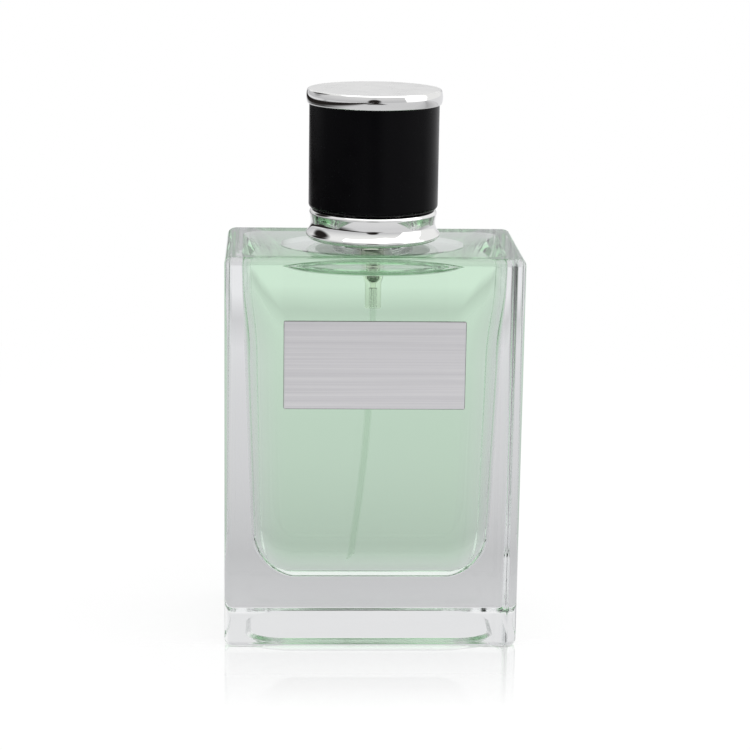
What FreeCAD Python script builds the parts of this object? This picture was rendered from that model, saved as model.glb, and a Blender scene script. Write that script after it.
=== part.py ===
import FreeCAD
import Part
import Sketcher

import math
import os
import re

# Spray bottle: thick glass block, crimped pump, polished collar and a pull-off cap.
# Millimetres, +Z up, origin at the middle of the base, front face towards -Y.

# Driving dimensions
SIZES = {
    # glass block
    "glass_width": 64.0,
    "glass_depth": 39.7,
    "shoulder_height": 86.4,
    "upright_edge_radius": 2.2,
    "shoulder_edge_radius": 1.6,
    "base_edge_radius": 1.4,
    "push_up_inset": 4.8,
    "push_up_corner_radius": 9.5,
    "push_up_rise": 0.8,
    "push_up_draft": 70.0,
    "plinth_radius": 8.8,
    "plinth_height": 1.7,
    "neck_radius": 6.3,
    "neck_height": 7.4,
    "neck_bore_radius": 4.3,
    "bead_radius": 7.4,
    "bead_height": 3.4,
    "bead_edge": 0.6,
    # hollow of the glass and its filling
    "base_thickness": 14.3,
    "shoulder_thickness": 1.8,
    "side_wall_floor": 5.75,
    "front_wall_floor": 6.45,
    "hollow_draft": 1.7,
    "hollow_corner_radius": 9.5,
    "hollow_floor_radius": 9.0,
    "hollow_ceiling_radius": 1.2,
    "air_half_width": 20.2,
    "air_half_depth": 13.2,
    "air_depth": 2.9,
    # label plate
    "label_width": 38.8,
    "label_height": 19.2,
    "label_thickness": 0.4,
    "label_corner_radius": 0.4,
    "label_foot": 53.9,
    # crimped closure of the neck
    "gasket_thickness": 0.8,
    "ferrule_wall": 0.4,
    "crimp_reach": 0.75,
    "seat_gap": 0.1,
    "turret_hole_gap": 0.3,
    # pump housing
    "housing_radius": 3.8,
    "flange_radius": 6.9,
    "flange_thickness": 1.0,
    "rim_radius": 4.3,
    "rim_height": 2.3,
    "tail_radius": 1.75,
    "tail_length": 5.5,
    "cone_length": 6.2,
    "socket_depth": 4.3,
    "inlet_radius": 0.55,
    "pump_bore_radius": 2.4,
    "counterbore_radius": 3.3,
    "counterbore_depth": 3.0,
    "ball_radius": 1.45,
    "ball_gap": 0.15,
    "cage_lip_radius": 1.25,
    "cage_lip_height": 0.3,
    "cage_height": 2.5,
    "stem_gasket_thickness": 0.8,
    "spigot_length": 2.0,
    # dip tube
    "tube_radius": 0.83,
    "tube_bore_radius": 0.5,
    "tube_bow_radius": 370.0,
    "tube_straight": 5.2,
    "tube_floor_gap": 1.2,
    "tube_tip_slant": 1.6,
    # stem, piston and spring
    "running_gap": 0.05,
    "stem_radius": 1.6,
    "stem_bore_radius": 0.6,
    "stem_waist_radius": 1.15,
    "stem_foot_radius": 2.0,
    "stem_foot_height": 1.1,
    "stem_engagement": 2.6,
    "port_radius": 0.3,
    "piston_height": 3.0,
    "piston_lip": 0.6,
    "piston_relief": 0.4,
    "piston_top_gap": 0.2,
    "piston_foot_gap": 0.1,
    "lost_motion": 0.8,
    "spring_length": 7.9,
    "spring_radius": 1.85,
    "wire_radius": 0.2,
    "spring_turns": 6.0,
    "press_travel": 4.0,
    "press_clearance": 0.4,
    # spray head
    "button_radius": 6.1,
    "button_skirt_wall": 0.8,
    "button_roof": 4.0,
    "boss_radius": 2.7,
    "shell_wall": 0.45,
    "shell_edge": 0.8,
    "nozzle_radius": 1.5,
    "nozzle_length": 2.4,
    "nozzle_face": 0.5,
    "nozzle_chamber_radius": 0.9,
    "orifice_radius": 0.2,
    "nozzle_cover": 0.5,
    "channel_radius": 0.5,
    # collar and its grip ring
    "collar_height": 5.4,
    "collar_foot_radius": 14.04,
    "collar_roll_height": 1.2,
    "collar_roll_radius": 14.43,
    "collar_roll_curve": 0.8,
    "collar_flare_height": 3.1,
    "collar_flare_curve": 3.4,
    "collar_lip_radius": 13.85,
    "collar_edge": 0.3,
    "collar_wall": 0.5,
    "upstand_radius": 10.9,
    "upstand_cover": 1.8,
    "collar_mouth_radius": 7.1,
    "grip_wall": 1.3,
    "grip_flange_radius": 12.6,
    "grip_flange_height": 1.0,
    "grip_hook": 0.6,
    "grip_rib_width": 1.2,
    "grip_ribs": 8.0,
    # cap
    "cap_gap": 0.65,
    "cap_headroom": 4.3,
    "sleeve_radius": 14.08,
    "sleeve_wall": 1.68,
    "sleeve_edge": 1.0,
    "web_thickness": 0.95,
    "disc_radius": 14.75,
    "disc_thickness": 3.15,
    "rim_depth": 0.5,
    "rim_chamfer": 0.4,
    "spigot_radius": 4.0,
    "liner_wall": 0.95,
    "liner_top_thickness": 0.9,
    "liner_recess": 0.3,
    "liner_stop_depth": 1.1,
    "liner_stop_height": 5.0,
    "liner_lead_in": 0.5,
    "liner_rib_width": 1.2,
    "liner_ribs": 8.0,
}

# Slope of a mitred corner between an upright wall and a lip turned in at 45 degrees
MITRE = math.tan(math.radians(22.5))

# Share of an edge's width that the middle facet of a rounded edge keeps
FACET = 1 - math.sqrt(0.5)

# Heights and radii that follow from the driving dimensions
LEVELS = {
    # glass and filling
    "plinth_top": "shoulder_height + plinth_height",
    "neck_top": "plinth_top + neck_height",
    "bead_foot": "neck_top - bead_height",
    "ceiling": "shoulder_height - shoulder_thickness",
    # crimped closure
    "flange_foot": "neck_top + gasket_thickness",
    "flange_top": "flange_foot + flange_thickness",
    "plate_top": "flange_top + ferrule_wall",
    "rim_top": "flange_top + rim_height",
    "turret_ceiling": "rim_top + stem_gasket_thickness",
    "turret_top": "turret_ceiling + ferrule_wall",
    "turret_inner": "rim_radius + seat_gap",
    "turret_radius": "turret_inner + ferrule_wall",
    "ferrule_inner": "bead_radius + seat_gap",
    "ferrule_radius": "ferrule_inner + ferrule_wall",
    "crimp_top": f"bead_foot - {MITRE} * seat_gap",
    "crimp_bend": f"crimp_top - {MITRE} * ferrule_wall",
    "crimp_step": f"{math.sqrt(0.5)} * ferrule_wall",
    # pump, from the flange down
    "counterbore_floor": "rim_top - counterbore_depth",
    "closure_foot": "counterbore_floor - spigot_length",
    "piston_top": "closure_foot - piston_top_gap",
    "piston_foot": "piston_top - piston_height",
    "stem_shoulder": "piston_top + lost_motion",
    "stem_foot_top": "piston_foot - piston_foot_gap",
    "stem_foot": "stem_foot_top - stem_foot_height",
    "spring_seat": "stem_foot - spring_length",
    "cage_top": "spring_seat - cage_lip_height",
    "cage_radius": "ball_radius + ball_gap",
    "seat_top": "cage_top - cage_height",
    "seat_foot": "seat_top - cage_radius + inlet_radius",
    "ball_height": f"seat_top - cage_radius + {math.sqrt(2.0)} * (ball_radius + running_gap)",
    "socket_top": "seat_foot - 2 * inlet_radius",
    "tail_foot": "socket_top - socket_depth",
    "cone_foot": "tail_foot + tail_length",
    "cone_top": "cone_foot + cone_length",
    # spray head
    "skirt_foot": "plate_top + press_travel + press_clearance",
    "boss_foot": "turret_top + press_travel + press_clearance",
    "stem_top": "boss_foot + stem_engagement",
    "head_socket_top": "stem_top + 2 * channel_radius",
    "nozzle_height": "stem_top + channel_radius",
    "button_top": "nozzle_height + nozzle_radius + nozzle_cover",
    "shell_inner": "button_radius + running_gap",
    "shell_radius": "shell_inner + shell_wall",
    "shell_top": "button_top + shell_wall",
    # collar
    "collar_top": "plinth_top + collar_height",
    "roll_top": "plinth_top + collar_roll_height",
    "flare_top": "plinth_top + collar_flare_height",
    "collar_foot_inner": "grip_flange_radius",
    "upstand_top": "plate_top + upstand_cover",
    "upstand_inner": "upstand_radius - collar_wall",
    "grip_top": "plate_top - press_clearance",
    "grip_inner": "ferrule_radius + running_gap",
    "grip_outer": "grip_inner + grip_wall",
    "hook_top": "crimp_top - crimp_reach - crimp_step - seat_gap",
    # cap
    "cap_foot": "collar_top + cap_gap",
    "cap_ceiling": "shell_top + cap_headroom",
    "liner_top": "cap_ceiling + liner_top_thickness",
    "web_top": "liner_top + web_thickness",
    "disc_top": "web_top + disc_thickness",
    "rim_half": "disc_thickness / 2 - rim_chamfer",
    "rim_bulge": f"{FACET} * rim_depth",
    "rim_curve": "(rim_half ^ 2 + rim_bulge ^ 2) / (2 * rim_bulge)",
    "sleeve_inner": "sleeve_radius - sleeve_wall",
    "liner_outer": "sleeve_inner - running_gap",
    "liner_inner": "liner_outer - liner_wall",
    "liner_foot": "cap_foot + liner_recess",
    "liner_grip": "upstand_radius + running_gap",
    "liner_stop": "upstand_top + running_gap",
}

AXIS_Z = FreeCAD.Vector(0, 0, 1)
TO_FRONT = FreeCAD.Rotation(FreeCAD.Vector(1, 0, 0), 90)
OVERSHOOT = 1.0
HALF_OVERSHOOT = OVERSHOOT / 2

doc = FreeCAD.newDocument("spray_bottle")
sheet = doc.addObject("Spreadsheet::Sheet", "sizes")
for row, (alias, value) in enumerate(SIZES.items(), start=1):
    sheet.set(f"A{row}", alias)
    sheet.set(f"B{row}", str(value))
    sheet.setAlias(f"B{row}", alias)
doc.recompute()


def formula(text):
    """Write out a formula's words as cells of the sheet."""
    def word(match):
        name = match.group()
        if name in LEVELS:
            return f"({formula(LEVELS[name])})"
        return f"sizes.{name}" if name in SIZES else name
    return re.sub(r"[a-z][a-z_]*", word, str(text))


def measure(text):
    """The number that a formula stands for now."""
    return float(sheet.evalExpression(formula(text)))


def bind(item, **formulas):
    """Tie properties to formulas; a double underscore stands for a dot."""
    for name, text in formulas.items():
        item.setExpression(name.replace("__", "."), formula(text))


def body_named(label):
    body = doc.addObject("PartDesign::Body", label)
    body.Label = label
    return body


def sketch_on(body, role, name, height=None):
    """A sketch on one of the body's own planes, lifted by height where given."""
    plane = next(item for item in body.Origin.OriginFeatures if item.Role == role)
    sketch = body.newObject("Sketcher::SketchObject", name)
    sketch.AttachmentSupport = [(plane, "")]
    sketch.MapMode = "FlatFace"
    if height is not None:
        bind(sketch, AttachmentOffset__Base__z=height)
    return sketch


def constrain(sketch, kind, *where, size):
    number = sketch.addConstraint(Sketcher.Constraint(kind, *where, measure(size)))
    sketch.setExpression(f"Constraints[{number}]", formula(size))


def arc_between(start, end, radius, turn):
    """Arc of less than a half circle; turn 1 is anticlockwise, -1 clockwise."""
    chord = end - start
    rise = math.sqrt(max(radius ** 2 - (chord.Length / 2) ** 2, 0.0))
    left = FreeCAD.Vector(-chord.y, chord.x, 0).normalize()
    centre = (start + end) * 0.5 + left * rise * turn
    first, last = (start, end) if turn > 0 else (end, start)
    angles = [math.atan2(point.y - centre.y, point.x - centre.x) for point in (first, last)]
    return Part.ArcOfCircle(Part.Circle(centre, AXIS_Z, radius), *angles)


def draw(sketch, corners, arcs=None, closed=True):
    """Outline through corners; arcs gives (radius, turn) for an edge's number."""
    arcs = arcs or {}
    points = [FreeCAD.Vector(measure(x), measure(y), 0) for x, y in corners]
    count = len(points) if closed else len(points) - 1
    ends = []
    for number in range(count):
        start = points[number]
        end = points[(number + 1) % len(points)]
        if number not in arcs:
            edge = sketch.addGeometry(Part.LineSegment(start, end), False)
            ends.append((edge, 1, 2))
            continue
        radius, turn = arcs[number]
        edge = sketch.addGeometry(arc_between(start, end, measure(radius), turn), False)
        ends.append((edge, 1, 2) if turn > 0 else (edge, 2, 1))
        constrain(sketch, "Radius", edge, size=radius)
    for number, (x, y) in enumerate(corners):
        edge, first, last = ends[min(number, count - 1)]
        tip = first if number < count else last
        constrain(sketch, "DistanceX", -1, 1, edge, tip, size=x)
        constrain(sketch, "DistanceY", -1, 1, edge, tip, size=y)
        if closed or 0 < number < count:
            before, _, before_last = ends[number - 1]
            sketch.addConstraint(Sketcher.Constraint("Coincident", before, before_last, edge, first))
    return sketch


def draw_circle(sketch, radius):
    edge = sketch.addGeometry(Part.Circle(FreeCAD.Vector(0, 0, 0), AXIS_Z, measure(radius)), False)
    sketch.addConstraint(Sketcher.Constraint("Coincident", edge, 3, -1, 1))
    constrain(sketch, "Radius", edge, size=radius)


def draw_rounded_rectangle(sketch, half_width, half_depth, radius):
    """Rectangle about the origin with round corners."""
    flat_x = f"({half_width}) - {radius}"
    flat_y = f"({half_depth}) - {radius}"
    corners = [
        (f"-({flat_x})", f"-({half_depth})"),
        (flat_x, f"-({half_depth})"),
        (half_width, f"-({flat_y})"),
        (half_width, flat_y),
        (flat_x, half_depth),
        (f"-({flat_x})", half_depth),
        (f"-({half_width})", flat_y),
        (f"-({half_width})", f"-({flat_y})"),
    ]
    draw(sketch, corners, {edge: (radius, 1) for edge in (1, 3, 5, 7)})


def turn(body, corners, arcs=None, name="Turned"):
    """Revolve an outline of (radius, height) corners about the upright axis."""
    sketch = draw(sketch_on(body, "XZ_Plane", f"{name}Outline"), corners, arcs)
    turned = body.newObject("PartDesign::Revolution", name)
    turned.Profile = sketch
    turned.ReferenceAxis = (sketch, ["V_Axis"])
    turned.Angle = 360
    return turned


def turned_part(label, corners, arcs=None):
    body = body_named(label)
    turn(body, corners, arcs)
    return body


def ring(label, inner, outer, foot, top):
    return turned_part(label, [(inner, foot), (outer, foot), (outer, top), (inner, top)])


def level_edges(feature, height):
    """Names of a feature's edges that lie wholly at one height."""
    names = []
    for number, edge in enumerate(feature.Shape.Edges, start=1):
        if all(abs(vertex.Point.z - height) < 1e-6 for vertex in edge.Vertexes):
            names.append(f"Edge{number}")
    return names


def round_off(body, feature, height, radius, name):
    doc.recompute()
    rounded = body.newObject("PartDesign::Fillet", name)
    rounded.Base = (feature, level_edges(feature, measure(height)))
    bind(rounded, Radius=radius)
    return rounded


def combine(kind, label, first, second):
    result = doc.addObject(f"Part::{kind}", label)
    result.Label = label
    result.Base = first
    result.Tool = second
    return result


def front_rod(label, radius, height, inner_end, length):
    """Cylinder that points to the front from inner_end in front of the axis."""
    rod = doc.addObject("Part::Cylinder", label)
    rod.Placement.Rotation = TO_FRONT
    bind(rod, Radius=radius, Height=length)
    bind(rod, Placement__Base__y=f"-({inner_end})", Placement__Base__z=height)
    return rod


def ribs(body, corners, width, count, name):
    """Upright ribs set evenly round the axis."""
    rib = body.newObject("PartDesign::Pad", name)
    rib.Profile = draw(sketch_on(body, "XZ_Plane", f"{name}Outline"), corners)
    rib.SideType = "Symmetric"
    bind(rib, Length=width)
    doc.recompute()
    pattern = body.newObject("PartDesign::PolarPattern", f"{name}Ring")
    pattern.Originals = [rib]
    pattern.Axis = (rib.Profile[0], ["V_Axis"])
    pattern.Angle = 360
    bind(pattern, Occurrences=count)
    body.Tip = pattern


def make_push_up():
    """Shallow recess in the base, inside the rim that the bottle stands on."""
    body = body_named("push_up")
    outline = sketch_on(body, "XY_Plane", "PushUpOutline")
    draw_rounded_rectangle(outline, "glass_width / 2 - push_up_inset", "glass_depth / 2 - push_up_inset",
                           "push_up_corner_radius")
    recess = body.newObject("PartDesign::Pad", "Recess")
    recess.Profile = outline
    bind(recess, Length="push_up_rise", TaperAngle="-push_up_draft")
    return body


def make_glass_block():
    """Outside of the glass: block, plinth and neck with its crimping bead."""
    body = body_named("glass_outside")
    outline = sketch_on(body, "XY_Plane", "BlockOutline")
    draw_rounded_rectangle(outline, "glass_width / 2", "glass_depth / 2", "upright_edge_radius")
    block = body.newObject("PartDesign::Pad", "Block")
    block.Profile = outline
    bind(block, Length="shoulder_height")
    soft_top = round_off(body, block, "shoulder_height", "shoulder_edge_radius", "ShoulderEdge")
    round_off(body, soft_top, "0", "base_edge_radius", "BaseEdge")
    bead_slope = "bead_radius - neck_radius"
    turn(body, [
        ("0", "ceiling"),
        ("plinth_radius", "ceiling"),
        ("plinth_radius", "plinth_top"),
        ("neck_radius", "plinth_top"),
        ("neck_radius", f"bead_foot - ({bead_slope})"),
        ("bead_radius", "bead_foot"),
        ("bead_radius", "neck_top - bead_edge"),
        ("bead_radius - bead_edge", "neck_top"),
        ("0", "neck_top"),
    ], name="Neck")
    return combine("Cut", "glass_solid", body, make_push_up())


def make_hollow():
    """Tapered hollow of the glass with a round floor."""
    body = body_named("hollow_body")
    floor = sketch_on(body, "XY_Plane", "FloorOutline", "base_thickness")
    draw_rounded_rectangle(floor, "glass_width / 2 - side_wall_floor",
                           "glass_depth / 2 - front_wall_floor", "hollow_corner_radius")
    drafted = body.newObject("PartDesign::Pad", "DraftedHollow")
    drafted.Profile = floor
    bind(drafted, Length="ceiling - base_thickness", TaperAngle="hollow_draft")
    soft_floor = round_off(body, drafted, "base_thickness", "hollow_floor_radius", "FloorEdge")
    round_off(body, soft_floor, "ceiling", "hollow_ceiling_radius", "CeilingEdge")
    return body


def make_neck_bore():
    bore = doc.addObject("Part::Cylinder", "neck_bore")
    bind(bore, Radius="neck_bore_radius", Height=f"neck_top - ceiling + {OVERSHOOT}")
    bind(bore, Placement__Base__z="ceiling")
    return bore


def make_liquid(hollow, housing_outside, tube):
    """Filling up to the ceiling but for a flat air bubble, round the pump and inside the dip tube."""
    air = doc.addObject("Part::Ellipsoid", "air_bubble")
    bind(air, Radius1="air_depth", Radius2="air_half_width", Radius3="air_half_depth")
    bind(air, Placement__Base__z="ceiling")
    filled = combine("Cut", "filled_hollow", hollow, air)
    round_pump = combine("Cut", "filled_round_pump", filled, housing_outside)
    return combine("Cut", "fragrance_liquid", round_pump, tube)


def make_label_plate():
    body = body_named("label_plate")
    outline = sketch_on(body, "XZ_Plane", "PlateOutline", "glass_depth / 2")
    left, right = "-label_width / 2", "label_width / 2"
    foot, top = "label_foot", "label_foot + label_height"
    corner = "label_corner_radius"
    draw(outline, [
        (f"{left} + {corner}", foot),
        (f"{right} - {corner}", foot),
        (right, f"{foot} + {corner}"),
        (right, f"{top} - {corner}"),
        (f"{right} - {corner}", top),
        (f"{left} + {corner}", top),
        (left, f"{top} - {corner}"),
        (left, f"{foot} + {corner}"),
    ], {edge: (corner, 1) for edge in (1, 3, 5, 7)})
    plate = body.newObject("PartDesign::Pad", "Plate")
    plate.Profile = outline
    bind(plate, Length="label_thickness")
    return body


def make_ferrule():
    """Thin cup crimped under the bead, with the turret that holds the pump."""
    lip_foot = "crimp_top - crimp_reach"
    return turned_part("crimp_ferrule", [
        ("ferrule_inner - crimp_reach", lip_foot),
        ("ferrule_inner - crimp_reach + crimp_step", f"{lip_foot} - crimp_step"),
        ("ferrule_radius", "crimp_bend"),
        ("ferrule_radius", "plate_top"),
        ("turret_radius", "plate_top"),
        ("turret_radius", "turret_top"),
        ("stem_radius + turret_hole_gap", "turret_top"),
        ("stem_radius + turret_hole_gap", "turret_ceiling"),
        ("turret_inner", "turret_ceiling"),
        ("turret_inner", "flange_top"),
        ("ferrule_inner", "flange_top"),
        ("ferrule_inner", "crimp_top"),
    ])


def make_housing_outside():
    return turned_part("housing_outside", [
        ("0", "tail_foot"),
        ("tail_radius", "tail_foot"),
        ("tail_radius", "cone_foot"),
        ("housing_radius", "cone_top"),
        ("housing_radius", "flange_foot"),
        ("flange_radius", "flange_foot"),
        ("flange_radius", "flange_top"),
        ("rim_radius", "flange_top"),
        ("rim_radius", "rim_top"),
        ("0", "rim_top"),
    ])


def make_housing(outside):
    """Pump housing: tube socket, ball seat with its cage, spring seat and bore."""
    inside = turned_part("housing_inside", [
        ("0", f"tail_foot - {OVERSHOOT}"),
        ("tube_radius", f"tail_foot - {OVERSHOOT}"),
        ("tube_radius", "socket_top"),
        ("inlet_radius", "socket_top"),
        ("inlet_radius", "seat_foot"),
        ("cage_radius", "seat_top"),
        ("cage_radius", "cage_top"),
        ("cage_lip_radius", "cage_top"),
        ("cage_lip_radius", "spring_seat"),
        ("pump_bore_radius", "spring_seat"),
        ("pump_bore_radius", "counterbore_floor"),
        ("counterbore_radius", "counterbore_floor"),
        ("counterbore_radius", f"rim_top + {OVERSHOOT}"),
        ("0", f"rim_top + {OVERSHOOT}"),
    ])
    return combine("Cut", "pump_housing", outside, inside)


def make_closure():
    guide = "stem_radius + running_gap"
    return turned_part("housing_closure", [
        (guide, "closure_foot"),
        ("pump_bore_radius - running_gap", "closure_foot"),
        ("pump_bore_radius - running_gap", "counterbore_floor"),
        ("counterbore_radius - running_gap", "counterbore_floor"),
        ("counterbore_radius - running_gap", "rim_top"),
        (guide, "rim_top"),
    ])


def make_dip_tube():
    """Tube that leaves the housing straight and bows to the left, cut aslant."""
    body = body_named("dip_tube")
    bow_top = "socket_top - tube_straight"
    drop = f"({bow_top} - base_thickness - tube_floor_gap)"
    bow = "tube_bow_radius"
    tip_x = f"(sqrt({bow} ^ 2 - {drop} ^ 2) - {bow})"
    path = draw(sketch_on(body, "XZ_Plane", "TubePath"), [
        ("0", "socket_top"),
        ("0", bow_top),
        (tip_x, f"{bow_top} - {drop}"),
    ], {1: (bow, -1)}, closed=False)
    section = sketch_on(body, "XY_Plane", "TubeSection", "socket_top")
    draw_circle(section, "tube_radius")
    draw_circle(section, "tube_bore_radius")
    doc.recompute()
    tube = body.newObject("PartDesign::AdditivePipe", "Tube")
    tube.Profile = section
    tube.Spine = (path, ["Edge1", "Edge2"])
    foot = "base_thickness"
    slant = draw(sketch_on(body, "XZ_Plane", "TipSlant"), [
        (f"{tip_x} - 2 * tube_radius", foot),
        (f"{tip_x} + 2 * tube_radius", foot),
        (f"{tip_x} + 2 * tube_radius", f"{foot} + tube_floor_gap + 1.5 * tube_tip_slant"),
        (f"{tip_x} - 2 * tube_radius", f"{foot} + tube_floor_gap - 0.5 * tube_tip_slant"),
    ])
    tip = body.newObject("PartDesign::Pocket", "Tip")
    tip.Profile = slant
    tip.SideType = "Symmetric"
    bind(tip, Length="4 * tube_radius")
    return body


def make_stem():
    """Hollow stem with a waist for the piston, a spring foot and a side port."""
    body = turned_part("stem_solid", [
        ("0", "stem_foot"),
        ("stem_foot_radius", "stem_foot"),
        ("stem_foot_radius", "stem_foot_top"),
        ("stem_waist_radius", "stem_foot_top"),
        ("stem_waist_radius", "stem_shoulder"),
        ("stem_radius", "stem_shoulder"),
        ("stem_radius", "stem_top"),
        ("stem_bore_radius", "stem_top"),
        ("stem_bore_radius", "stem_foot_top"),
        ("0", "stem_foot_top"),
    ])
    port_height = "piston_foot + port_radius + piston_foot_gap"
    port = front_rod("stem_port", "port_radius", port_height, "-2 * stem_waist_radius",
                     "4 * stem_waist_radius")
    return combine("Cut", "pump_stem", body, port)


def make_piston():
    """Piston ring with a wiping lip at each end."""
    bore = "stem_waist_radius + running_gap"
    wall = "pump_bore_radius - running_gap"
    return turned_part("piston", [
        (bore, "piston_foot"),
        (wall, "piston_foot"),
        (wall, "piston_foot + piston_lip"),
        (f"{wall} - piston_relief", "piston_foot + piston_lip + piston_relief"),
        (f"{wall} - piston_relief", "piston_top - piston_lip - piston_relief"),
        (wall, "piston_top - piston_lip"),
        (wall, "piston_top"),
        (bore, "piston_top"),
    ])


def make_ball():
    ball = doc.addObject("Part::Sphere", "inlet_ball")
    bind(ball, Radius="ball_radius", Placement__Base__z="ball_height")
    return ball


def helix_point(angle, radius, rise, foot):
    return FreeCAD.Vector(radius * math.cos(angle), radius * math.sin(angle), foot + rise * angle)


def helix_direction(angle, radius, rise):
    return FreeCAD.Vector(-radius * math.sin(angle), radius * math.cos(angle), rise).normalize()


def bend(start, corner, end):
    """Arc from start to end whose end tangents meet at corner."""
    half = (end - start).Length / 2
    middle = (start + end) * 0.5
    turn_angle = math.acos(min(half / (corner - start).Length, 1.0))
    sag = half * math.tan(turn_angle / 2)
    return Part.Arc(start, middle + (corner - middle).normalize() * sag, end).toShape()


def biarc(start, leave, end, arrive):
    """Two arcs that join two points with the given directions."""
    span = end - start
    both = leave + arrive
    spread = 2 * (1 - leave.dot(arrive))
    along = span.dot(both)
    reach = (math.sqrt(along ** 2 + spread * span.dot(span)) - along) / spread
    first_corner = start + leave * reach
    last_corner = end - arrive * reach
    join = (first_corner + last_corner) * 0.5
    return [bend(start, first_corner, join), bend(join, last_corner, end)]


def wire_section(centre, way, radius):
    """Six-sided section of the wire, square to its way."""
    side = way.cross(AXIS_Z).normalize()
    turns = [FreeCAD.Rotation(way, 60 * number) for number in range(7)]
    return Part.makePolygon([centre + turn_by.multVec(side) * radius for turn_by in turns])


def make_spring():
    """Open-coiled wire between the spring seat and the foot of the stem."""
    wire_radius = measure("wire_radius")
    radius = measure("spring_radius")
    turns = measure("spring_turns")
    foot = measure("spring_seat + wire_radius")
    rise = (measure("spring_length") - 2 * wire_radius) / (2 * math.pi * turns)
    halves = round(2 * turns)
    angles = [2 * math.pi * turns * step / halves for step in range(halves + 1)]
    points = [helix_point(angle, radius, rise, foot) for angle in angles]
    ways = [helix_direction(angle, radius, rise) for angle in angles]
    edges = []
    for number in range(halves):
        edges += biarc(points[number], ways[number], points[number + 1], ways[number + 1])
    section = wire_section(points[0], ways[0], wire_radius)
    spring = doc.addObject("Part::Feature", "pump_spring")
    spring.Shape = Part.Wire(edges).makePipeShell([section], True, False)
    gap = 2 * math.pi * rise - 2 * wire_radius
    fine = [2 * math.pi * turns * step / 240 for step in range(241)]
    least = least_gap([helix_point(angle, radius, rise, foot) for angle in fine], fine, wire_radius)
    print(f"pump_spring: least gap between turns {least:.3f} mm, pitch gap {gap:.3f} mm")
    return spring


def least_gap(points, angles, wire_radius):
    """Least distance between turns, on points at least half a turn apart."""
    gaps = []
    for first, start in enumerate(points):
        for last in range(first + 1, len(points)):
            if angles[last] - angles[first] > math.pi:
                gaps.append((points[last] - start).Length - 2 * wire_radius)
    return min(gaps)


def make_button():
    """Core of the spray head: skirt, stem socket, channel and nozzle pocket."""
    skirt_inner = "button_radius - button_skirt_wall"
    socket = "stem_radius + running_gap"
    body = turned_part("button_solid", [
        (socket, "boss_foot"),
        ("boss_radius", "boss_foot"),
        ("boss_radius", "button_top - button_roof"),
        (skirt_inner, "button_top - button_roof"),
        (skirt_inner, "skirt_foot"),
        ("button_radius", "skirt_foot"),
        ("button_radius", "button_top"),
        ("0", "button_top"),
        ("0", "head_socket_top"),
        (socket, "head_socket_top"),
    ])
    pocket = front_rod("nozzle_pocket", "nozzle_radius", "nozzle_height",
                       "shell_radius - nozzle_length", "nozzle_length")
    channel = front_rod("spray_channel", "channel_radius", "nozzle_height", "0",
                        f"shell_radius - nozzle_length + {HALF_OVERSHOOT}")
    passages = combine("Fuse", "spray_passages", pocket, channel)
    return combine("Cut", "actuator_button", body, passages)


def make_shell():
    """Thin metal shell of the spray head with a window for the nozzle."""
    body = turned_part("shell_solid", [
        ("shell_inner", "skirt_foot"),
        ("shell_radius", "skirt_foot"),
        ("shell_radius", "shell_top - shell_edge"),
        (f"shell_radius - {FACET} * shell_edge", f"shell_top - {FACET} * shell_edge"),
        ("shell_radius - shell_edge", "shell_top"),
        ("0", "shell_top"),
        ("0", "button_top"),
        ("shell_inner", "button_top"),
    ])
    window = front_rod("nozzle_window", "nozzle_radius + running_gap", "nozzle_height",
                       "shell_inner - nozzle_length", f"2 * nozzle_length + {OVERSHOOT}")
    return combine("Cut", "actuator_sleeve", body, window)


def make_nozzle():
    """Orifice cup, turned upright and then laid to the front."""
    floor = "nozzle_length - nozzle_face"
    nozzle = turned_part("nozzle_insert", [
        ("nozzle_chamber_radius", "0"),
        ("nozzle_radius", "0"),
        ("nozzle_radius", "nozzle_length"),
        ("nozzle_chamber_radius", "nozzle_length"),
        ("orifice_radius", "nozzle_length - nozzle_face / 2"),
        ("orifice_radius", floor),
        ("nozzle_chamber_radius", floor),
    ])
    nozzle.Placement.Rotation = TO_FRONT
    bind(nozzle, Placement__Base__y="nozzle_length - shell_radius", Placement__Base__z="nozzle_height")
    return nozzle


def make_collar():
    """Shroud that flares to a rolled foot, with an upstand for the cap."""
    return turned_part("collar", [
        ("collar_foot_inner", "plinth_top"),
        ("collar_foot_radius", "plinth_top"),
        ("collar_roll_radius", "roll_top"),
        ("collar_lip_radius", "flare_top"),
        ("collar_lip_radius", "collar_top - collar_edge"),
        ("collar_lip_radius - collar_edge", "collar_top"),
        ("upstand_radius", "collar_top"),
        ("upstand_radius", "upstand_top"),
        ("collar_mouth_radius", "upstand_top"),
        ("collar_mouth_radius", "upstand_top - collar_wall"),
        ("upstand_inner", "upstand_top - collar_wall"),
        ("upstand_inner", "collar_top - collar_wall"),
        ("collar_foot_inner", "collar_top - collar_wall"),
    ], {
        1: ("collar_roll_curve", 1),
        2: ("collar_flare_curve", -1),
    })


def make_grip_ring():
    """Ring that hooks under the crimp and holds the upstand on its ribs."""
    body = body_named("collar_grip_ring")
    flange_top = "plinth_top + grip_flange_height"
    turn(body, [
        ("grip_inner - grip_hook", "plinth_top"),
        ("grip_flange_radius", "plinth_top"),
        ("grip_flange_radius", flange_top),
        ("grip_outer", flange_top),
        ("grip_outer", "grip_top"),
        ("grip_inner", "grip_top"),
        ("grip_inner", "hook_top"),
        ("grip_inner - grip_hook", "hook_top - grip_hook"),
    ])
    ribs(body, [
        ("grip_outer - grip_wall / 2", flange_top),
        ("upstand_inner - running_gap", flange_top),
        ("upstand_inner - running_gap", "grip_top - grip_wall"),
        ("grip_outer - grip_wall / 2", "grip_top - grip_wall"),
    ], "grip_rib_width", "grip_ribs", "GripRib")
    return body


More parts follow.
